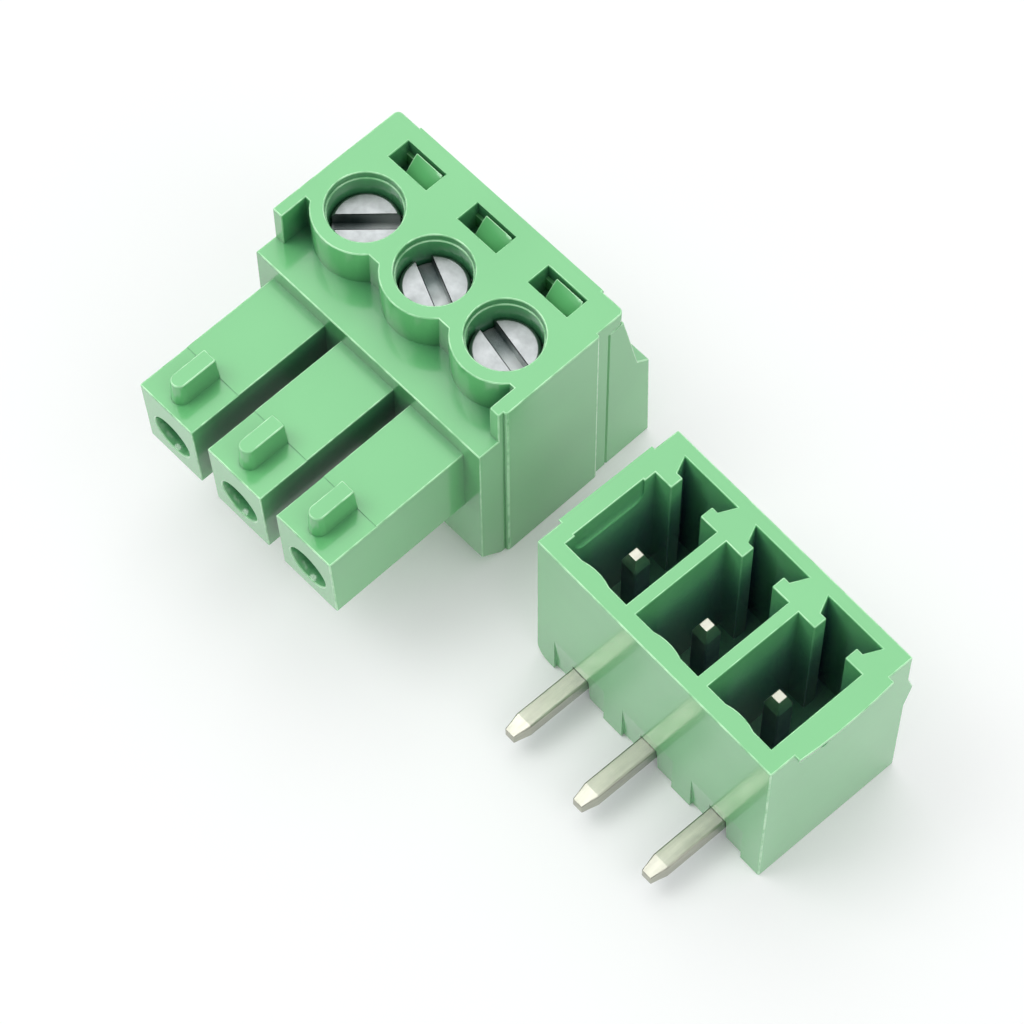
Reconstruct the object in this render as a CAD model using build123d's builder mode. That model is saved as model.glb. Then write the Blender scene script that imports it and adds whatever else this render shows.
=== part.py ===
"""A pluggable terminal block for a circuit board: a screw-clamp plug and its right-angle pin header.

The two halves lie unplugged, side by side, on one surface. The row of poles runs along X, the wires
enter the plug from +Y, the plug's prongs point to -Y and the clamping screws look up. The origin is
on the plug's underside, below the middle screw. The header lies on its back with its mouth up, and
its solder legs point to -Y. All sizes are in millimetres.
"""

import os

from build123d import *

os.makedirs("parts", exist_ok=True)

# Row of poles
pole_count = 3
pitch = 3.81
row_half = (pole_count - 1) * pitch / 2
pole_xs = [number * pitch - row_half for number in range(pole_count)]

# Plug, outside
plug_side = 2.34          # end pole to the plug's end face
plug_half = row_half + plug_side
plug_height = 10.9
shelf_height = 8.93       # top of the step that the prongs grow from
front_y = -3.53           # face that stops against the header's rim
front_bevel = 1.0         # along the underside
front_bevel_height = 0.9
seam_y = 3.1              # where housing and rear cover meet
lid_rear_y = 3.93         # the top plate runs out over the cover
lid_thickness = 0.8
lid_corner = 0.25
lid_step = 0.06           # the plate's corners are set back a little
lid_step_x = 1.18
seam_groove = 0.06        # along the seam, on both ends
end_pad = 0.15            # raised face on the end next to the header
end_pad_front_y = -2.3
end_pad_rear_y = 2.5
soft_edge = 0.08

# Screw wells in the plug's top
boss_radius = 2.1
web_front_y = -1.32       # flat between two bosses
column_front_y = -2.55
column_wall = 0.49
well_radius = 1.45
well_rim_radius = 1.53
well_rim_depth = 0.3

# Prongs with their coding tabs
prong_width = 2.93
prong_length = 6.7
prong_bottom = 4.1
prong_top = 8.07
prong_draft = 0.15        # the front face leans back this much at the bottom
prong_step = 0.03         # top is this much lower from the tab to the tip
tab_height = 1.23
tab_top_width = 0.66
tab_taper = 3.3           # degrees on each side
tab_from_tip = 0.48
tab_length = 1.87
mouth_radius = 0.98
mouth_throat_radius = 0.8
mouth_depth = 1.3

# Spring contact and its bar
pin_width = 0.8
pin_height = 5.75         # axis of the header's pin above the plug's underside
contact_width = 1.5
strip = 0.4
socket_height = 2.4
contact_gap = 0.05        # beside the contact, in its channel
grip_gap = 0.02           # between each leaf and the pin
leaf_root = 1.2           # start of the spring leaves, behind the front face
leaf_bend = 2.5           # pinch point, from the prong's tip to the back
leaf_tip_inset = 1.4
leaf_radius = 0.8
web_inset = 0.4           # cross web of the fork, behind the front face
bar_overhang = 0.1        # bar past the clamp

# Screw and rising clamp
screw_radius = 1.0
thread_gap = 0.05
head_clearance = 0.1      # round the head, in its well
head_radius = well_radius - head_clearance
head_height = 1.0
head_drop = 1.05          # below the plug's top
head_play = 0.05
head_edge = 0.12
head_land = 0.7           # wall under the head, over the clamp's chamber
slot_width = 0.65
slot_depth = 0.6
slot_angles = [47, -23, -11]
clamp_width = 3.0
clamp_depth = 2.6
clamp_side = 0.42
clamp_roof = 1.0
clamp_floor = 0.7
clamp_corner = 0.35
clamp_gap = 0.1           # round the clamp, in its chamber
wire_gap = 1.8            # open height for the conductor
roof_gap = 0.3            # clamp's roof over the bar, opened
tip_gap = 0.25            # screw's tip over the bar
end_gap = 0.25            # above and below the clamp at the ends of its travel
tooth_pitch = 0.5
tooth_depth = 0.12
tooth_count = 4

# Latch windows and hooks
window_width = 2.04
window_front_y = 2.18
window_rear_y = 3.19
latch_left = 0.5
latch_right = 0.95
latch_thickness = 0.65
latch_gap = 0.07
latch_rear_drop = 0.15    # hook's ramp below the plug's top, at the rear
latch_mid_y = 2.7
latch_mid_drop = 0.6
latch_front_drop = 1.3

# Rear cover
cover_gap = 0.05
cover_lip_y = 3.87
cover_waist_y = 4.69
cover_waist_height = 6.16
hood_height = 5.6
hood_top_y = 5.31
hood_base_y = 5.45
wire_radius = 0.85
funnel_width = 2.9
funnel_height = 3.3
funnel_depth = 1.5
funnel_corner = 0.4
relief_width = 1.7
relief_wall = 0.55

# Header, outside
header_x = 16.37          # its middle pole, from the plug's middle pole
header_y = -4.68          # its board face
header_turn = -2.1        # degrees, as the two halves lie
header_side = 2.39
header_half = row_half + header_side
header_height = 9.2
rear_wall = 0.58
front_wall = 0.73
header_round = 0.75       # lower edge of the end that faces the plug
header_lip_left = 0.15    # each end has a lip at the rim
header_lip_right = 0.27
header_lip_bow = 0.1
header_lip_inset = 1.15
header_lip_height = 1.6
header_lip_angle = 15.0   # degrees; the lip slopes back into the wall

# Header, inside
pin_y = 2.73              # pin axis from the board face
pin_tip_drop = 1.08       # below the rim
prong_side_gap = 0.17
prong_top_gap = 0.07
tab_top_gap = 0.09
seat_gap = 0.1            # below the seated prong
lip_thickness = 0.6
key_neck = 1.56
key_width_at_lip = 2.16
key_width_at_wall = 2.76
bulge_chord = 1.45
bulge_rise = 0.12
end_pocket_depth = 0.08
end_pocket_height = 1.4
end_pocket_corner = 0.5
end_pocket_front_y = 1.2
end_pocket_rear_y = 4.6
nub_height = 0.3
nub_width = 0.9
nub_base_z = 5.2
nub_crest_z = 6.25
nub_crest_height = 0.2
nub_top_z = 7.4
gate_y = 2.73
gate_z = 8.0
gate_radius = 0.22
gate_depth = 0.1

# Header pins
leg_height = 1.2          # solder leg's axis above the header's back
leg_length = 3.5          # past the board face
bend_radius = 0.9
pin_edge = 0.06
pin_gap = 0.02
tip_length = 0.6
tip_angle = 18.0          # pyramid at the mating end
leg_taper = 0.75
leg_angle = 12.0          # and at the solder end
foot_recess_width = 2.8
foot_recess_height = 2.4
foot_recess_depth = 0.16  # at the bottom; it runs out upwards

# Levels that follow from the sizes above
prong_tip_y = front_y - prong_length
tab_rear_y = prong_tip_y + tab_from_tip + tab_length
bar_bottom = pin_height - socket_height / 2
bar_top = bar_bottom + strip
clamp_floor_top = bar_bottom - wire_gap
clamp_bottom = clamp_floor_top - clamp_floor
clamp_roof_bottom = bar_top + roof_gap
clamp_top = clamp_roof_bottom + clamp_roof
chamber_bottom = clamp_bottom - end_gap
chamber_half = clamp_width / 2 + clamp_gap
chamber_front_y = -(clamp_depth / 2 + clamp_gap)
head_top = plug_height - head_drop
head_bottom = head_top - head_height
head_seat = head_bottom - head_play
chamber_top = head_seat - head_land
clamp_travel = chamber_top - end_gap - clamp_top
screw_tip = bar_top + tip_gap
lid_bottom = plug_height - lid_thickness
latch_arm_top = lid_bottom - cover_gap
latch_arm_bottom = latch_arm_top - latch_thickness
wire_height = clamp_floor_top + wire_gap / 2
funnel_bottom_y = hood_top_y - funnel_depth

lip_front_y = pin_y + prong_top - pin_height + prong_top_gap
key_rear_y = pin_y + prong_top + tab_height - pin_height + tab_top_gap
header_depth = key_rear_y + rear_wall
header_floor = header_height - prong_length - seat_gap
cavity_half = prong_width / 2 + prong_side_gap

header_base = Plane(
    origin=(header_x, header_y, 0),
    x_dir=Vector(1, 0, 0).rotate(Axis.Z, header_turn),
    z_dir=(0, 0, 1),
)
header_row = Axis(header_base.origin, header_base.x_dir)
header_base_depth = Axis(header_base.origin, header_base.y_dir)


def header_section(x):
    """A plane across the header at x: its sketches read depth to the right and height up."""
    origin = header_base.from_local_coords(Vector(x, 0, 0))
    return Plane(origin=origin, x_dir=header_base.y_dir, z_dir=header_base.x_dir)


def plug_front(y):
    """A plane facing the wire side of the plug at y: its sketches read -X to the right and Z up."""
    return Plane(origin=(0, y, 0), x_dir=(-1, 0, 0), z_dir=(0, 1, 0))


def rectangle_between(low, high):
    """A sketch rectangle from its low corner to its high corner."""
    with Locations(((low[0] + high[0]) / 2, (low[1] + high[1]) / 2)):
        Rectangle(high[0] - low[0], high[1] - low[1])


# Plug housing
with BuildPart() as plug_housing:
    # Lower block with its bevelled front edge
    with BuildSketch(Plane.YZ):
        with BuildLine():
            Polyline(
                (front_y + front_bevel, 0),
                (seam_y, 0),
                (seam_y, shelf_height),
                (front_y, shelf_height),
                (front_y, front_bevel_height),
                close=True,
            )
        make_face()
    extrude(amount=plug_half, both=True)

    # Upper storey: wells in round bosses, with a thin column at each end
    with BuildSketch(Plane.XY.offset(shelf_height)):
        rectangle_between((-plug_half, web_front_y), (plug_half, seam_y))
        rectangle_between((-plug_half, column_front_y), (-plug_half + column_wall, web_front_y))
        rectangle_between((plug_half - column_wall, column_front_y), (plug_half, web_front_y))
        with Locations(*[(x, 0) for x in pole_xs]):
            Circle(boss_radius)
    extrude(amount=plug_height - shelf_height)
    chamfer(plug_housing.edges().filter_by(Axis.Z).group_by(Axis.Y)[-1], seam_groove)

    # Top plate over the rear cover
    with BuildSketch(Plane.XY.offset(lid_bottom)) as lid_sketch:
        rectangle_between((-plug_half, seam_y - lid_thickness), (plug_half, lid_rear_y - lid_step))
        fillet(lid_sketch.vertices().group_by(Axis.Y)[-1], lid_corner)
        rectangle_between((lid_step_x - plug_half, seam_y), (plug_half - lid_step_x, lid_rear_y))
    extrude(amount=lid_thickness)

    # Raised face on the end next to the header
    with BuildSketch(Plane.YZ.offset(plug_half)):
        rectangle_between((end_pad_front_y, 0), (end_pad_rear_y, plug_height))
    extrude(amount=end_pad)
    chamfer(plug_housing.faces().sort_by(Axis.X)[-1].edges().filter_by(Axis.Z), soft_edge)

    # Prongs
    for x in pole_xs:
        with BuildSketch(Plane.YZ.offset(x)):
            with BuildLine():
                Polyline(
                    (front_y, prong_bottom),
                    (prong_tip_y + prong_draft, prong_bottom),
                    (prong_tip_y, prong_top - prong_step),
                    (tab_rear_y, prong_top - prong_step),
                    (tab_rear_y, prong_top),
                    (front_y, prong_top),
                    close=True,
                )
            make_face()
        extrude(amount=prong_width / 2, both=True)

        # Tab with a round nose and drafted sides, drawn at its narrow top
        with BuildSketch(Plane.XY.offset(prong_top + tab_height)):
            nose_y = prong_tip_y + tab_from_tip + tab_top_width / 2
            with Locations((x, nose_y)):
                Circle(tab_top_width / 2)
            rectangle_between(
                (x - tab_top_width / 2, nose_y), (x + tab_top_width / 2, tab_rear_y)
            )
        extrude(amount=-tab_height - prong_step, taper=-tab_taper)

    # Clamp chambers, open to the rear, and the contacts' channels ahead of them
    for x in pole_xs:
        with BuildSketch(Plane.YZ.offset(x)):
            rectangle_between((chamber_front_y, chamber_bottom), (seam_y, chamber_top))
        extrude(amount=chamber_half, both=True, mode=Mode.SUBTRACT)
        with BuildSketch(Plane.YZ.offset(x)):
            rectangle_between(
                (prong_tip_y + mouth_depth, bar_bottom),
                (chamber_front_y, bar_bottom + socket_height),
            )
        extrude(amount=contact_width / 2 + contact_gap, both=True, mode=Mode.SUBTRACT)

    # Pin mouths in the prongs, narrowing to a throat
    for x in pole_xs:
        with BuildSketch(Plane.XZ.offset(-prong_tip_y)):
            with Locations((x, pin_height)):
                Circle(mouth_radius)
        with BuildSketch(Plane.XZ.offset(-prong_tip_y - mouth_depth)):
            with Locations((x, pin_height)):
                Circle(mouth_throat_radius)
        loft(mode=Mode.SUBTRACT)

    # Screw wells with a stepped rim, and the holes below them
    with Locations(*[(x, 0, plug_height) for x in pole_xs]):
        CounterBoreHole(
            radius=well_radius,
            counter_bore_radius=well_rim_radius,
            counter_bore_depth=well_rim_depth,
            depth=plug_height - head_seat,
        )
    with Locations(*[(x, 0, head_seat) for x in pole_xs]):
        Hole(screw_radius + thread_gap, depth=head_seat - chamber_top)

    # Latch windows and the pockets behind them
    for x in pole_xs:
        with BuildSketch(Plane.YZ.offset(x)):
            rectangle_between((window_front_y, lid_bottom), (window_rear_y, plug_height))
            rectangle_between((window_front_y, latch_arm_bottom - cover_gap), (seam_y, lid_bottom))
        extrude(amount=window_width / 2, both=True, mode=Mode.SUBTRACT)
plug_housing.part.label = "plug_housing"
export_step(plug_housing.part, "parts/plug_housing.step")


# Rear cover, snapped in from the wire side
with BuildPart() as rear_cover:
    with BuildSketch(Plane.YZ):
        with BuildLine():
            Polyline(
                (seam_y, 0),
                (hood_base_y, 0),
                (hood_top_y, hood_height),
                (cover_waist_y, cover_waist_height),
                (cover_lip_y, latch_arm_top),
                (seam_y, latch_arm_top),
                close=True,
            )
        make_face()
    extrude(amount=plug_half, both=True)
    chamfer(rear_cover.edges().filter_by(Axis.Z).group_by(Axis.Y)[0], seam_groove)

    # Blocks that close the chambers and guide the wires
    for x in pole_xs:
        with BuildSketch(Plane.YZ.offset(x)):
            rectangle_between(
                (-chamber_front_y, chamber_bottom + cover_gap), (seam_y, chamber_top - cover_gap)
            )
        extrude(amount=chamber_half - cover_gap, both=True)

    # Latch arms, each with a hook that ramps down towards the screws
    for x in pole_xs:
        with BuildSketch(Plane.YZ.offset(x - latch_left)):
            with BuildLine():
                hook_front = (window_front_y + latch_gap, plug_height - latch_front_drop)
                hook_middle = (latch_mid_y, plug_height - latch_mid_drop)
                hook_rear = (window_rear_y - latch_gap, plug_height - latch_rear_drop)
                Polyline(
                    hook_front,
                    (hook_front[0], latch_arm_bottom),
                    (cover_lip_y, latch_arm_bottom),
                    (cover_lip_y, latch_arm_top),
                    (hook_rear[0], latch_arm_top),
                    hook_rear,
                )
                ThreePointArc(hook_rear, hook_middle, hook_front)
            make_face()
        extrude(amount=latch_left + latch_right)

    # Wire entries: a wide funnel in the hood and a round way through to the clamp
    for x in pole_xs:
        with BuildSketch(plug_front(hood_base_y)) as funnel_mouth:
            with Locations((-x, wire_height)):
                RectangleRounded(funnel_width, funnel_height, funnel_corner)
        with BuildSketch(plug_front(funnel_bottom_y)):
            with Locations((-x, wire_height)):
                RectangleRounded(2 * wire_radius, 2 * wire_radius, wire_radius * 0.99)
        loft(mode=Mode.SUBTRACT)
        with BuildSketch(plug_front(-chamber_front_y)):
            with Locations((-x, wire_height)):
                Circle(wire_radius)
        extrude(amount=funnel_bottom_y + chamber_front_y, mode=Mode.SUBTRACT)

    # Relief pockets behind the upper walls
    for x in pole_xs:
        with BuildSketch(Plane.YZ.offset(x)):
            rectangle_between(
                (-chamber_front_y, bar_top + relief_wall),
                (cover_lip_y - relief_wall, chamber_top - cover_gap - relief_wall),
            )
        extrude(amount=relief_width / 2, both=True, mode=Mode.SUBTRACT)
rear_cover.part.label = "rear_cover"
export_step(rear_cover.part, "parts/rear_cover.step")


# Clamping screws
for number, x in enumerate(pole_xs, start=1):
    slot_angle = slot_angles[(number - 1) % len(slot_angles)]
    with BuildPart() as screw:
        with Locations((x, 0, screw_tip)):
            Cylinder(
                screw_radius,
                head_bottom - screw_tip,
                align=(Align.CENTER, Align.CENTER, Align.MIN),
            )
        with Locations((x, 0, head_bottom)):
            Cylinder(
                head_radius, head_height, align=(Align.CENTER, Align.CENTER, Align.MIN)
            )
        chamfer(screw.faces().sort_by(Axis.Z)[-1].edges(), head_edge)
        chamfer(screw.faces().sort_by(Axis.Z)[0].edges(), head_edge)
        with BuildSketch(Plane.XY.offset(head_top)):
            with Locations((x, 0)):
                Rectangle(3 * head_radius, slot_width, rotation=slot_angle)
        extrude(amount=-slot_depth, mode=Mode.SUBTRACT)
    screw.part.label = f"clamp_screw_{number}"
    export_step(screw.part, f"parts/clamp_screw_{number}.step")


# Rising clamps: a threaded roof and a toothed floor, joined by two sides
for number, x in enumerate(pole_xs, start=1):
    with BuildPart() as clamp:
        with BuildSketch(plug_front(-clamp_depth / 2)) as clamp_sketch:
            with Locations((-x, (clamp_bottom + clamp_top) / 2)):
                RectangleRounded(clamp_width, clamp_top - clamp_bottom, clamp_corner)
                with Locations((0, (clamp_floor - clamp_roof) / 2)):
                    Rectangle(
                        clamp_width - 2 * clamp_side,
                        clamp_roof_bottom - clamp_floor_top,
                        mode=Mode.SUBTRACT,
                    )
        extrude(amount=clamp_depth)
        with Locations((x, 0, clamp_top)):
            Hole(screw_radius + thread_gap, depth=clamp_roof)
        with BuildSketch(Plane.YZ.offset(x)):
            with Locations((0, clamp_floor_top)):
                with GridLocations(tooth_pitch, tooth_pitch, tooth_count, 1):
                    Polygon(
                        (-tooth_depth, 0),
                        (0, -tooth_depth),
                        (tooth_depth, 0),
                        align=None,
                    )
        extrude(amount=clamp_width / 2 - clamp_side, both=True, mode=Mode.SUBTRACT)
    clamp.part.label = f"wire_clamp_{number}"
    export_step(clamp.part, f"parts/wire_clamp_{number}.step")


# Contacts: a bar under the clamp that runs forward into a two-leaf fork
leaf_root_y = front_y - leaf_root
leaf_pinch_y = prong_tip_y + leaf_bend
leaf_tip_y = prong_tip_y + leaf_tip_inset
web_y = front_y - web_inset
lower_z = bar_bottom + strip / 2
pinch = pin_width / 2 + grip_gap + strip / 2
for number, x in enumerate(pole_xs, start=1):
    with BuildPart() as contact:
        with BuildSketch(Plane.YZ.offset(x)):
            with BuildLine():
                FilletPolyline(
                    (clamp_depth / 2 + bar_overhang, lower_z),
                    (leaf_root_y, lower_z),
                    (leaf_pinch_y, pin_height - pinch),
                    (leaf_tip_y, lower_z),
                    radius=leaf_radius,
                )
            trace(line_width=strip)
            with BuildLine():
                FilletPolyline(
                    (web_y, lower_z),
                    (web_y, 2 * pin_height - lower_z),
                    (leaf_root_y, 2 * pin_height - lower_z),
                    (leaf_pinch_y, pin_height + pinch),
                    (leaf_tip_y, 2 * pin_height - lower_z),
                    radius=strip,
                )
            trace(line_width=strip)
        extrude(amount=contact_width / 2, both=True)
    contact.part.label = f"plug_contact_{number}"
    export_step(contact.part, f"parts/plug_contact_{number}.step")


# Header housing
with BuildPart() as header_housing:
    with BuildSketch(header_base):
        rectangle_between((-header_half, 0), (header_half, header_depth))
    extrude(amount=header_height)
    low_edges = header_housing.edges().filter_by(header_base_depth).group_by(Axis.Z)[0]
    fillet(low_edges.sort_by(header_row)[0], header_round)

    # Sloping lip at the rim of both ends, bowed on the far one
    with BuildSketch(header_base.offset(header_height)):
        with BuildLine():
            lip_left = -header_half - header_lip_left
            lip_right = header_half + header_lip_right
            lip_end_y = header_depth - header_lip_inset
            Polyline(
                (lip_right, lip_end_y),
                (lip_left, lip_end_y),
                (lip_left, header_lip_inset),
                (lip_right, header_lip_inset),
            )
            ThreePointArc(
                (lip_right, header_lip_inset),
                (lip_right + header_lip_bow, header_depth / 2),
                (lip_right, lip_end_y),
            )
        make_face()
    extrude(amount=-header_lip_height, taper=header_lip_angle)

    # Cavities with a keyway for each tab
    for x in pole_xs:
        with BuildSketch(header_base.offset(header_floor)):
            with BuildLine():
                bulge_left = (x - bulge_chord / 2, front_wall)
                bulge_right = (x + bulge_chord / 2, front_wall)
                lip_rear_y = lip_front_y + lip_thickness
                ThreePointArc(bulge_right, (x, front_wall + bulge_rise), bulge_left)
                Polyline(
                    bulge_left,
                    (x - cavity_half, front_wall),
                    (x - cavity_half, lip_front_y),
                    (x - key_neck / 2, lip_front_y),
                    (x - key_neck / 2, lip_rear_y),
                    (x - key_width_at_lip / 2, lip_rear_y),
                    (x - key_width_at_wall / 2, key_rear_y),
                    (x + key_width_at_wall / 2, key_rear_y),
                    (x + key_width_at_lip / 2, lip_rear_y),
                    (x + key_neck / 2, lip_rear_y),
                    (x + key_neck / 2, lip_front_y),
                    (x + cavity_half, lip_front_y),
                    (x + cavity_half, front_wall),
                    bulge_right,
                )
            make_face()
        extrude(amount=header_height - header_floor, mode=Mode.SUBTRACT)

    # Shallow pocket inside the end wall next to the plug, open at the rim
    with BuildSketch(header_section(-row_half - cavity_half)) as pocket_sketch:
        rectangle_between(
            (end_pocket_front_y, header_height - end_pocket_height),
            (end_pocket_rear_y, header_height),
        )
        fillet(pocket_sketch.vertices().sort_by(Axis.Y)[0:2], end_pocket_corner)
    extrude(amount=-end_pocket_depth, mode=Mode.SUBTRACT)

    # Ramped nubs on the wall away from the board
    for side in (-1, 1):
        with BuildSketch(header_section(side * (header_half - nub_width / 2))):
            with BuildLine():
                Polyline(
                    (header_depth, nub_base_z),
                    (header_depth + nub_height, nub_crest_z),
                    (header_depth + nub_height, nub_crest_z + nub_crest_height),
                    (header_depth, nub_top_z),
                    close=True,
                )
            make_face()
        extrude(amount=nub_width / 2, both=True)

    # Round each pin a hollow in the board wall, fading upwards, and the slot that the pin slides into
    for x in pole_xs:
        with BuildSketch(header_section(x)):
            with BuildLine():
                Polyline(
                    (0, 0),
                    (foot_recess_depth, 0),
                    (0, foot_recess_height),
                    close=True,
                )
            make_face()
        extrude(amount=foot_recess_width / 2, both=True, mode=Mode.SUBTRACT)
        with BuildSketch(header_section(x)):
            with BuildLine():
                FilletPolyline(
                    (0, leg_height),
                    (pin_y, leg_height),
                    (pin_y, header_floor + bend_radius),
                    radius=bend_radius,
                )
            trace(line_width=pin_width + 2 * pin_gap)
            rectangle_between((0, 0), (pin_y + pin_width / 2 + pin_gap, leg_height))
        extrude(amount=pin_width / 2 + pin_gap, both=True, mode=Mode.SUBTRACT)

    # Gate mark on one end
    lip_reach = header_lip_right + header_lip_bow
    with BuildSketch(header_section(header_half + lip_reach)):
        with Locations((gate_y, gate_z)):
            Circle(gate_radius)
    extrude(amount=-lip_reach - gate_depth, mode=Mode.SUBTRACT)
header_housing.part.label = "header_housing"
export_step(header_housing.part, "parts/header_housing.step")


# Header pins, each swept from one square wire with both ends pointed
for number, x in enumerate(pole_xs, start=1):
    with BuildPart() as pin:
        with BuildLine(header_section(x)) as pin_line:
            FilletPolyline(
                (leg_taper - leg_length, leg_height),
                (pin_y, leg_height),
                (pin_y, header_height - pin_tip_drop - tip_length),
                radius=bend_radius,
            )
        with BuildSketch(Plane(origin=pin_line.line @ 0, z_dir=pin_line.line % 0)) as wire_sketch:
            Rectangle(pin_width, pin_width)
            chamfer(wire_sketch.vertices(), pin_edge)
        sweep()
        extrude(pin.faces().sort_by(Axis.Z)[-1], amount=tip_length, taper=tip_angle)
        extrude(pin.faces().sort_by(header_base_depth)[0], amount=leg_taper, taper=leg_angle)
    pin.part.label = f"header_pin_{number}"
    export_step(pin.part, f"parts/header_pin_{number}.step")
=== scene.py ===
"""The unplugged terminal block, plug and header, on a white table under soft light.

Everything is in metres, in the frame of the CAD model. The looks are node materials on the CAD's
own pieces, with a small rounding of their outer edges.
"""

import math

import bpy
from mathutils import Matrix, Vector


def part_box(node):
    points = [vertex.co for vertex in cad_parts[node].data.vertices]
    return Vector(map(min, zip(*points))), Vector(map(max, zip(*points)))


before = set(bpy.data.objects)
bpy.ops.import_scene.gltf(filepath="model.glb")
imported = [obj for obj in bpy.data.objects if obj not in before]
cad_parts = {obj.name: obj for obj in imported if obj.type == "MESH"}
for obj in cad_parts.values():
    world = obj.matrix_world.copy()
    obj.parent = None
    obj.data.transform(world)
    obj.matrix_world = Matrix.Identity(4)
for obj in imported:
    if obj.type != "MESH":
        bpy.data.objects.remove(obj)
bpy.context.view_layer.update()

MM = 0.001
POLES = (1, 2, 3)

# Camera, fitted to the corners of both halves in the photograph
CAMERA_AZIMUTH = 47.116
CAMERA_ELEVATION = 62.417
CAMERA_ROLL = -0.700
CAMERA_DISTANCE = 155.997 * MM
CAMERA_TARGET = Vector((5.159, -1.009, 0.0)) * MM
CAMERA_CLIP_START = 1.0 * MM
FOCAL_PIXELS = 4002.09
IMAGE_PIXELS = 1024
SENSOR_WIDTH = 36.0

# Light: the soft boxes' azimuth, elevation (degrees), distance, size (metres) and energy (watts)
SOFT_BOXES = {
    "key_box": (227.0, 62.0, 0.40, 0.32, 0.65),
    "left_box": (313.0, 58.0, 0.40, 0.20, 0.60),
    "right_fill": (95.0, 45.0, 0.40, 0.30, 0.44),
}
LAMP_TARGET = Vector((0.005, 0, 0.004))
ROOM = (0.97, 0.985, 1.0)
ROOM_STRENGTH = 0.44

# Colours, in linear light
GREEN = (0.146, 0.518, 0.189)
GREEN_DEEP = (0.129, 0.480, 0.171)
# Painted highlight of the rounded edges
GREEN_EDGE_HIGHLIGHT = (0.440, 0.820, 0.470)
# Painted shade deep in the screw wells and in the header's cavities
WELL_PAINTED_SHADE = (0.020, 0.110, 0.070)
CAVITY_PAINTED_SHADE = (0.050, 0.105, 0.150)
# Painted light: a glow partway into the header's cavities
CAVITY_PAINTED_GLOW = (0.220, 0.720, 0.300)
ZINC = (0.425, 0.445, 0.450)
TIN = (0.52, 0.52, 0.44)
TARNISH_SHARE = 0.72
# Painted shade of the pins deep inside the header
PIN_PAINTED_SHADE = (0.250, 0.260, 0.350)
# Painted shade and painted highlight at the two ends of a screw slot
SLOT_PAINTED_SHADE = (0.025, 0.060, 0.055)
SLOT_PAINTED_HIGHLIGHT = (0.42, 0.45, 0.44)
FLOOR = (0.86, 0.875, 0.870)
WHITE = (1, 1, 1)

# Metal finishes: colour, roughness, scale of the drawn lines, and their stretch along X, Y and Z
SCREW_FINISH = (ZINC, 0.42, 2500.0, (1.0, 1.0, 1.0))
CLAMP_FINISH = (ZINC, 0.30, 2200.0, (1.0, 0.12, 1.0))
PIN_FINISH = (TIN, 0.38, 2600.0, (1.0, 0.10, 1.0))
CONTACT_FINISH = (TIN, 0.32, 2200.0, (1.0, 0.12, 1.0))

# Scales of the noise in the finishes, and heights of their bumps
DRIFT_SCALE = 180.0
GLOSS_SCALE = 900.0
TARNISH_SCALE = 1300.0
EDGE_HIGHLIGHT_SCALE = 1500.0
GRAIN_SCALE = 7000.0
GRAIN_HEIGHT = 0.004 * MM
METAL_BUMP_HEIGHT = 0.04 * MM

# Shares of open sky between which a painted shade or painted glow turns: the first has none of it,
# the second all
WELL_SHADE = (0.50, 0.22)
CAVITY_SHADE = (0.22, 0.05)
GLOW_SHADE = (0.75, 0.35)
SLOT_SHADE = (0.85, 0.45)
PIN_SHADE = (0.30, 0.08)

# The floor's own white, painted light seen straight on and in reflections:
# from and to a share of open sky, from and to a strength
SEEN_WHITE = (0.05, 0.75, 0.0, 0.50)
MIRRORED_WHITE = (0.30, 0.50, 0.0, 0.52)

# How far the open sky is looked for
RECESS_REACH = 6.0 * MM
SLOT_REACH = 0.8 * MM
CAVITY_REACH = 4.0 * MM
FLOOR_REACH = 6.0 * MM

# Detail sizes
EDGE_ROUNDING = 0.055 * MM
METAL_ROUNDING = 0.03 * MM
ROUNDING_SEGMENTS = 2
WELD_REACH = 0.001 * MM
THREAD_PITCH = 0.4 * MM
SCREW_HEAD_HEIGHT = 1.0 * MM
SLOT_FADE = 0.45 * MM
MOUTH_DEPTH = 1.3 * MM
FLOOR_SPAN = 3.0
FLOOR_HEIGHT = -0.00002
FLAT_ANGLE = math.radians(1.0)
OUTER_ANGLE = math.radians(35)
NARROW_SHARE = 1.8


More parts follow.
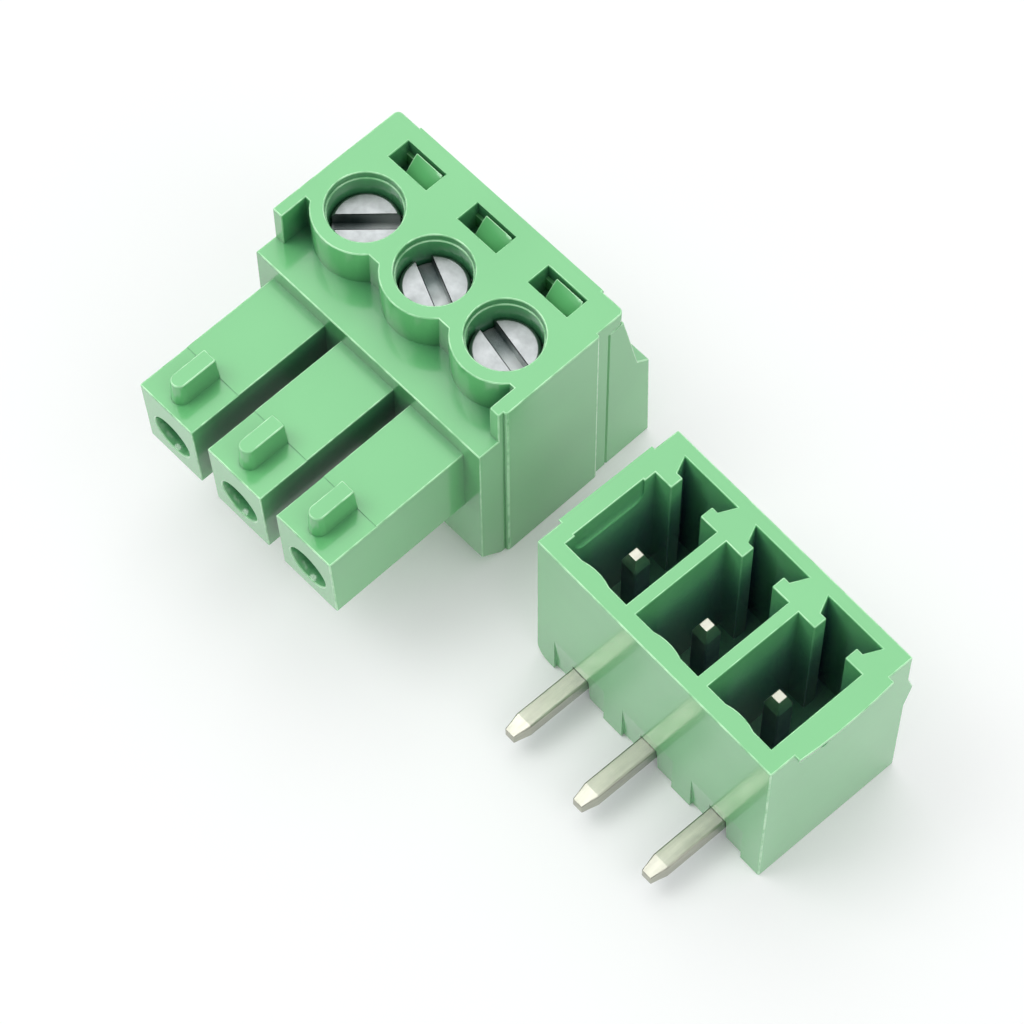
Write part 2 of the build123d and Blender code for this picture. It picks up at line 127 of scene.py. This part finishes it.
class Nodes:
    """A short way to add and link a material's nodes."""

    def __init__(self, name):
        self.material = bpy.data.materials.new(name)
        self.material.use_nodes = True
        self.tree = self.material.node_tree
        self.tree.nodes.clear()
        self.output = self.add("ShaderNodeOutputMaterial")

    def add(self, kind, inputs=None, **settings):
        node = self.tree.nodes.new(kind)
        for key, value in settings.items():
            setattr(node, key, value)
        for key, value in (inputs or {}).items():
            self.feed(node.inputs[key], value)
        return node

    def feed(self, socket, value):
        if isinstance(value, bpy.types.NodeSocket):
            self.tree.links.new(value, socket)
        else:
            socket.default_value = value

    def position(self):
        return self.add("ShaderNodeTexCoord").outputs["Object"]

    def axes(self, vector):
        return self.add("ShaderNodeSeparateXYZ", {"Vector": vector}).outputs

    def open_sky(self, reach, **settings):
        return self.add(
            "ShaderNodeAmbientOcclusion", {"Distance": reach}, **settings
        ).outputs["AO"]

    def noise(self, vector, scale, detail=3.0, roughness=0.5):
        return self.add(
            "ShaderNodeTexNoise",
            {"Vector": vector, "Scale": scale, "Detail": detail, "Roughness": roughness},
        ).outputs["Fac"]

    def math(self, operation, first, second=0.0):
        return self.add(
            "ShaderNodeMath", {0: first, 1: second}, operation=operation
        ).outputs["Value"]

    def spread(self, value, low, high, to_low=0.0, to_high=1.0):
        return self.add(
            "ShaderNodeMapRange",
            {
                "Value": value,
                "From Min": low,
                "From Max": high,
                "To Min": to_low,
                "To Max": to_high,
            },
        ).outputs["Result"]

    def blend(self, factor, first, second):
        mix = self.add("ShaderNodeMix", data_type="RGBA")
        self.feed(mix.inputs[0], factor)
        self.feed(mix.inputs[6], first)
        self.feed(mix.inputs[7], second)
        return mix.outputs[2]

    def bump(self, height, strength, distance):
        return self.add(
            "ShaderNodeBump", {"Height": height, "Strength": strength, "Distance": distance}
        ).outputs["Normal"]

    def surface(self, shader):
        self.feed(self.output.inputs["Surface"], shader)
        return self.material


def opaque(colour):
    return (*colour, 1.0)


def plastic(name, recess, recess_shade, glow=None, edge=None):
    """Moulded green nylon: a faint drift of shade, a fine grain and a smooth gloss film.

    The shade sinks to the recess tone, a painted shade, as less of the sky is open, over the range
    `recess_shade`. A `glow` tone, painted light, is the one it passes through before that, and an
    `edge` tone the paler, uneven painted highlight on the strips of the rounded edges.
    """
    n = Nodes(name)
    position = n.position()
    drift = n.spread(n.noise(position, DRIFT_SCALE, 1.0), 0.30, 0.70)
    shade = n.blend(drift, opaque(GREEN_DEEP), opaque(GREEN))
    if edge is not None:
        # Painted highlight: the strips of the rounded edges turn paler in uneven patches
        pointed = n.add("ShaderNodeNewGeometry").outputs["Pointiness"]
        patchy = n.spread(n.noise(position, EDGE_HIGHLIGHT_SCALE, 2.0), 0.35, 0.60, 0.30, 1.0)
        edge_highlight = n.math("MULTIPLY", n.spread(pointed, 0.495, 0.51), patchy)
        shade = n.blend(edge_highlight, shade, opaque(edge))
    open_sky = n.open_sky(RECESS_REACH, samples=3, only_local=True)
    # Painted light: partway into the cavities the green turns to a lighter glow
    if glow is not None:
        shade = n.blend(n.spread(open_sky, *GLOW_SHADE), shade, opaque(glow))
    # Painted shade: deep in recesses the green sinks to the dark recess tone
    shade = n.blend(n.spread(open_sky, *recess_shade), shade, opaque(recess))
    grain = n.noise(position, GRAIN_SCALE, 3.0, 0.6)
    shader = n.add(
        "ShaderNodeBsdfPrincipled",
        {
            "Base Color": shade,
            "Roughness": n.spread(n.noise(position, GLOSS_SCALE), 0.3, 0.7, 0.18, 0.24),
            "IOR": 1.50,
            "Coat Weight": 0.6,
            "Coat Roughness": 0.10,
            "Normal": n.bump(grain, 0.10, GRAIN_HEIGHT),
        },
    )
    return n.surface(shader.outputs["BSDF"])


def metal(name, finish, thread_below=None, centre=None, recess=None):
    """Plated metal with fine drawn lines and a little tarnish.

    A screw also has its thread, below the height `thread_below` and round `centre`, and in its
    slot a painted shade at one end and a painted highlight at the other. A `recess` tone is a
    painted shade that the metal sinks to deep inside another piece.
    """
    colour, roughness, line_scale, stretch = finish
    n = Nodes(name)
    position = n.position()
    drawn = n.add("ShaderNodeMapping", {"Vector": position, "Scale": stretch}).outputs["Vector"]
    lines = n.noise(drawn, line_scale, 3.0, 0.65)
    patches = n.noise(position, TARNISH_SCALE, 3.0)
    tarnish = tuple(channel * TARNISH_SHARE for channel in colour)
    wear = n.math("ADD", n.math("MULTIPLY", patches, 0.5), n.math("MULTIPLY", lines, 0.5))
    shade = n.blend(n.spread(wear, 0.36, 0.60), opaque(tarnish), opaque(colour))
    if thread_below is not None:
        # Painted shade and painted highlight in the slot: dark at its -X end, light at its +X end
        open_sky = n.open_sky(SLOT_REACH, samples=3, only_local=True)
        across = n.math("SUBTRACT", n.axes(position)["X"], centre[0])
        along_slot = n.spread(across, -SLOT_FADE, SLOT_FADE)
        slot_shade = n.blend(along_slot, opaque(SLOT_PAINTED_SHADE), opaque(SLOT_PAINTED_HIGHLIGHT))
        shade = n.blend(n.spread(open_sky, *SLOT_SHADE), shade, slot_shade)
    if recess is not None:
        # Painted shade: deep inside another piece the metal sinks to the recess tone
        open_sky = n.open_sky(CAVITY_REACH, samples=3)
        shade = n.blend(n.spread(open_sky, *PIN_SHADE), shade, opaque(recess))
    height = n.math("MULTIPLY", lines, 0.25)
    if thread_below is not None:
        height = n.math("ADD", height, thread(n, position, thread_below, centre))
    shader = n.add(
        "ShaderNodeBsdfPrincipled",
        {
            "Base Color": shade,
            "Metallic": 1.0,
            "Roughness": n.spread(patches, 0.3, 0.7, roughness * 0.8, roughness * 1.3),
            "Normal": n.bump(height, 0.5, METAL_BUMP_HEIGHT),
        },
    )
    return n.surface(shader.outputs["BSDF"])


def thread(n, position, top, centre):
    """Height of a right-handed thread round a vertical axis, below the screw's head."""
    axes = n.axes(position)
    across = n.math("SUBTRACT", axes["X"], centre[0])
    along = n.math("SUBTRACT", axes["Y"], centre[1])
    turn = n.math("DIVIDE", n.math("ARCTAN2", along, across), 2 * math.pi)
    climb = n.math("SUBTRACT", n.math("DIVIDE", axes["Z"], THREAD_PITCH), turn)
    ridge = n.math("PINGPONG", climb, 0.5)
    return n.math("MULTIPLY", ridge, n.math("LESS_THAN", axes["Z"], top))


class EdgeMarks:
    """A node group that stores one value for each edge of a mesh."""

    def __init__(self, name):
        self.group = bpy.data.node_groups.new(name, "GeometryNodeTree")
        for side in ("INPUT", "OUTPUT"):
            self.group.interface.new_socket(
                "Geometry", in_out=side, socket_type="NodeSocketGeometry"
            )

    def add(self, kind):
        return self.group.nodes.new(kind)

    def link(self, first, second):
        self.group.links.new(first, second)

    def math(self, operation, first, second):
        node = self.add("ShaderNodeMath")
        node.operation = operation
        for socket, value in zip(node.inputs, (first, second)):
            if isinstance(value, bpy.types.NodeSocket):
                self.link(value, socket)
            else:
                socket.default_value = value
        return node.outputs[0]

    def store(self, kind, attribute, value):
        mark = self.add("GeometryNodeStoreNamedAttribute")
        mark.data_type = kind
        mark.domain = "EDGE"
        mark.inputs["Name"].default_value = attribute
        self.link(self.add("NodeGroupInput").outputs[0], mark.inputs["Geometry"])
        self.link(value, mark.inputs["Value"])
        self.link(mark.outputs["Geometry"], self.add("NodeGroupOutput").inputs[0])
        return self.group


def outer_edges(name, rounding):
    """Marks for rounding the edges that stand out, between faces that are wide enough."""
    marks = EdgeMarks(name)
    angle = marks.add("GeometryNodeInputMeshEdgeAngle").outputs["Signed Angle"]
    outer = marks.math("GREATER_THAN", angle, OUTER_ANGLE)
    area = marks.add("GeometryNodeInputMeshFaceArea").outputs["Area"]
    per_face = marks.add("GeometryNodeFieldOnDomain")
    per_face.domain = "FACE"
    marks.link(marks.math("DIVIDE", 1.0, area), per_face.inputs[0])
    ends = marks.add("GeometryNodeInputMeshEdgeVertices").outputs
    span = marks.add("ShaderNodeVectorMath")
    span.operation = "DISTANCE"
    marks.link(ends["Position 1"], span.inputs[0])
    marks.link(ends["Position 2"], span.inputs[1])
    narrowness = marks.math("MULTIPLY", per_face.outputs[0], span.outputs["Value"])
    wide = marks.math("LESS_THAN", narrowness, 0.5 / (NARROW_SHARE * rounding))
    return marks.store("FLOAT", "bevel_weight_edge", marks.math("MULTIPLY", outer, wide))


def edges_in_plane(name, y):
    """Marks as sharp the edges that lie in one plane across Y, so that its faces stay apart."""
    marks = EdgeMarks(name)
    ends = marks.add("GeometryNodeInputMeshEdgeVertices").outputs
    offsets = []
    for end in ("Position 1", "Position 2"):
        split = marks.add("ShaderNodeSeparateXYZ")
        marks.link(ends[end], split.inputs[0])
        offset = marks.math("SUBTRACT", split.outputs["Y"], y)
        offsets.append(marks.math("MULTIPLY", offset, offset))
    distance = marks.math("ADD", offsets[0], offsets[1])
    return marks.store("BOOLEAN", "sharp_edge", marks.math("LESS_THAN", distance, WELD_REACH**2))


def dress(node, material, rounding, edge_material=None, keep_apart=None):
    """Gives a CAD node its finish and a narrow rounding of its outer edges."""
    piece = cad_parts[node]
    piece.data.materials.clear()
    piece.data.materials.append(material)
    if edge_material is not None:
        piece.data.materials.append(edge_material)
    weld = piece.modifiers.new("weld", "WELD")
    weld.merge_threshold = WELD_REACH
    if keep_apart is not None:
        kept = piece.modifiers.new("kept_edges", "NODES")
        kept.node_group = keep_apart
    flats = piece.modifiers.new("join_flats", "DECIMATE")
    flats.decimate_type = "DISSOLVE"
    flats.delimit = {"SHARP"}
    flats.angle_limit = FLAT_ANGLE
    marks = piece.modifiers.new("outer_edges", "NODES")
    marks.node_group = OUTER_EDGES[rounding]
    bevel = piece.modifiers.new("edge_rounding", "BEVEL")
    bevel.width = rounding
    bevel.segments = ROUNDING_SEGMENTS
    bevel.use_clamp_overlap = False
    bevel.limit_method = "WEIGHT"
    bevel.harden_normals = True
    bevel.material = 0 if edge_material is None else 1


def towards(azimuth, elevation):
    """The direction with this compass angle and height, in degrees."""
    a, e = math.radians(azimuth), math.radians(elevation)
    return Vector((math.sin(a) * math.cos(e), -math.cos(a) * math.cos(e), math.sin(e)))


def place_camera():
    roll = math.radians(CAMERA_ROLL)
    back = towards(CAMERA_AZIMUTH, CAMERA_ELEVATION)
    right = (-back).cross(Vector((0, 0, 1))).normalized()
    up = right.cross(-back)
    across = right * math.cos(roll) + up * math.sin(roll)
    upward = up * math.cos(roll) - right * math.sin(roll)
    lens = bpy.data.cameras.new("camera")
    lens.sensor_width = SENSOR_WIDTH
    lens.sensor_fit = "HORIZONTAL"
    lens.lens = FOCAL_PIXELS * SENSOR_WIDTH / IMAGE_PIXELS
    lens.clip_start = CAMERA_CLIP_START
    camera = bpy.data.objects.new("camera", lens)
    bpy.context.scene.collection.objects.link(camera)
    camera.matrix_world = Matrix.Translation(CAMERA_TARGET + back * CAMERA_DISTANCE) @ (
        Matrix((across, upward, back)).transposed().to_4x4()
    )
    bpy.context.scene.camera = camera


def place_floor():
    """A white table, with a little white of its own where the sky is open, so it stays pale."""
    bpy.ops.mesh.primitive_plane_add(size=FLOOR_SPAN, location=(0, 0, FLOOR_HEIGHT))
    floor = bpy.context.object
    floor.name = "floor"
    n = Nodes("white_table")
    matt = n.add("ShaderNodeBsdfPrincipled", {"Base Color": opaque(FLOOR), "Roughness": 0.75})
    glow = n.add("ShaderNodeEmission", {"Color": opaque(WHITE), "Strength": 1.0})
    path = n.add("ShaderNodeLightPath").outputs
    # Painted light: the floor glows white where the sky is open, seen straight on and in the
    # object's reflections, and fades where the sky is closed beside and between the parts
    open_sky = n.open_sky(FLOOR_REACH, samples=2)
    beside = n.spread(open_sky, *SEEN_WHITE)
    between = n.spread(open_sky, *MIRRORED_WHITE)
    seen = n.math("MULTIPLY", path["Is Camera Ray"], beside)
    mirrored = n.math("MULTIPLY", path["Is Glossy Ray"], between)
    mix = n.add("ShaderNodeMixShader", {0: n.math("ADD", seen, mirrored)})
    n.feed(mix.inputs[1], matt.outputs["BSDF"])
    n.feed(mix.inputs[2], glow.outputs["Emission"])
    floor.data.materials.append(n.surface(mix.outputs["Shader"]))


def lamp(name, azimuth, elevation, distance, size, energy):
    """A square soft box that looks at the object from a compass direction."""
    away = towards(azimuth, elevation)
    light = bpy.data.lights.new(name, "AREA")
    light.size = size
    light.energy = energy
    box = bpy.data.objects.new(name, light)
    box.location = LAMP_TARGET + away * distance
    box.rotation_euler = away.to_track_quat("Z", "Y").to_euler()
    bpy.context.scene.collection.objects.link(box)


def light_scene():
    for name, settings in SOFT_BOXES.items():
        lamp(name, *settings)
    world = bpy.data.worlds.new("room")
    world.use_nodes = True
    background = world.node_tree.nodes["Background"]
    background.inputs["Color"].default_value = opaque(ROOM)
    background.inputs["Strength"].default_value = ROOM_STRENGTH
    bpy.context.scene.world = world


OUTER_EDGES = {
    EDGE_ROUNDING: outer_edges("plastic_outer_edges", EDGE_ROUNDING),
    METAL_ROUNDING: outer_edges("metal_outer_edges", METAL_ROUNDING),
}
plug_green = plastic("plug_nylon", WELL_PAINTED_SHADE, WELL_SHADE)
plug_edges = plastic("plug_nylon_edges", WELL_PAINTED_SHADE, WELL_SHADE, edge=GREEN_EDGE_HIGHLIGHT)
header_green = plastic("header_nylon", CAVITY_PAINTED_SHADE, CAVITY_SHADE, CAVITY_PAINTED_GLOW)
header_edges = plastic(
    "header_nylon_edges", CAVITY_PAINTED_SHADE, CAVITY_SHADE, CAVITY_PAINTED_GLOW, GREEN_EDGE_HIGHLIGHT
)

# The flat rings where the prongs' mouths narrow lie in this plane
mouth_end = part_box("plug_housing")[0].y + MOUTH_DEPTH
throat_faces = edges_in_plane("throat_faces", mouth_end)
dress("plug_housing", plug_green, EDGE_ROUNDING, plug_edges, throat_faces)
dress("rear_cover", plug_green, EDGE_ROUNDING, plug_edges)
dress("header_housing", header_green, EDGE_ROUNDING, header_edges)

for number in POLES:
    screw = f"clamp_screw_{number}"
    low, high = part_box(screw)
    head_bottom = high.z - SCREW_HEAD_HEIGHT
    screw_metal = metal(
        f"plated_screw_{number}", SCREW_FINISH, head_bottom, (low + high) / 2
    )
    dress(screw, screw_metal, METAL_ROUNDING)

clamp_metal = metal("plated_clamp", CLAMP_FINISH)
tin = metal("tinned_pin", PIN_FINISH, recess=PIN_PAINTED_SHADE)
contact_tin = metal("tinned_contact", CONTACT_FINISH)
for number in POLES:
    dress(f"wire_clamp_{number}", clamp_metal, METAL_ROUNDING)
    dress(f"plug_contact_{number}", contact_tin, METAL_ROUNDING)
    dress(f"header_pin_{number}", tin, METAL_ROUNDING)

place_camera()
place_floor()
light_scene()
bpy.context.scene.view_settings.view_transform = "Standard"
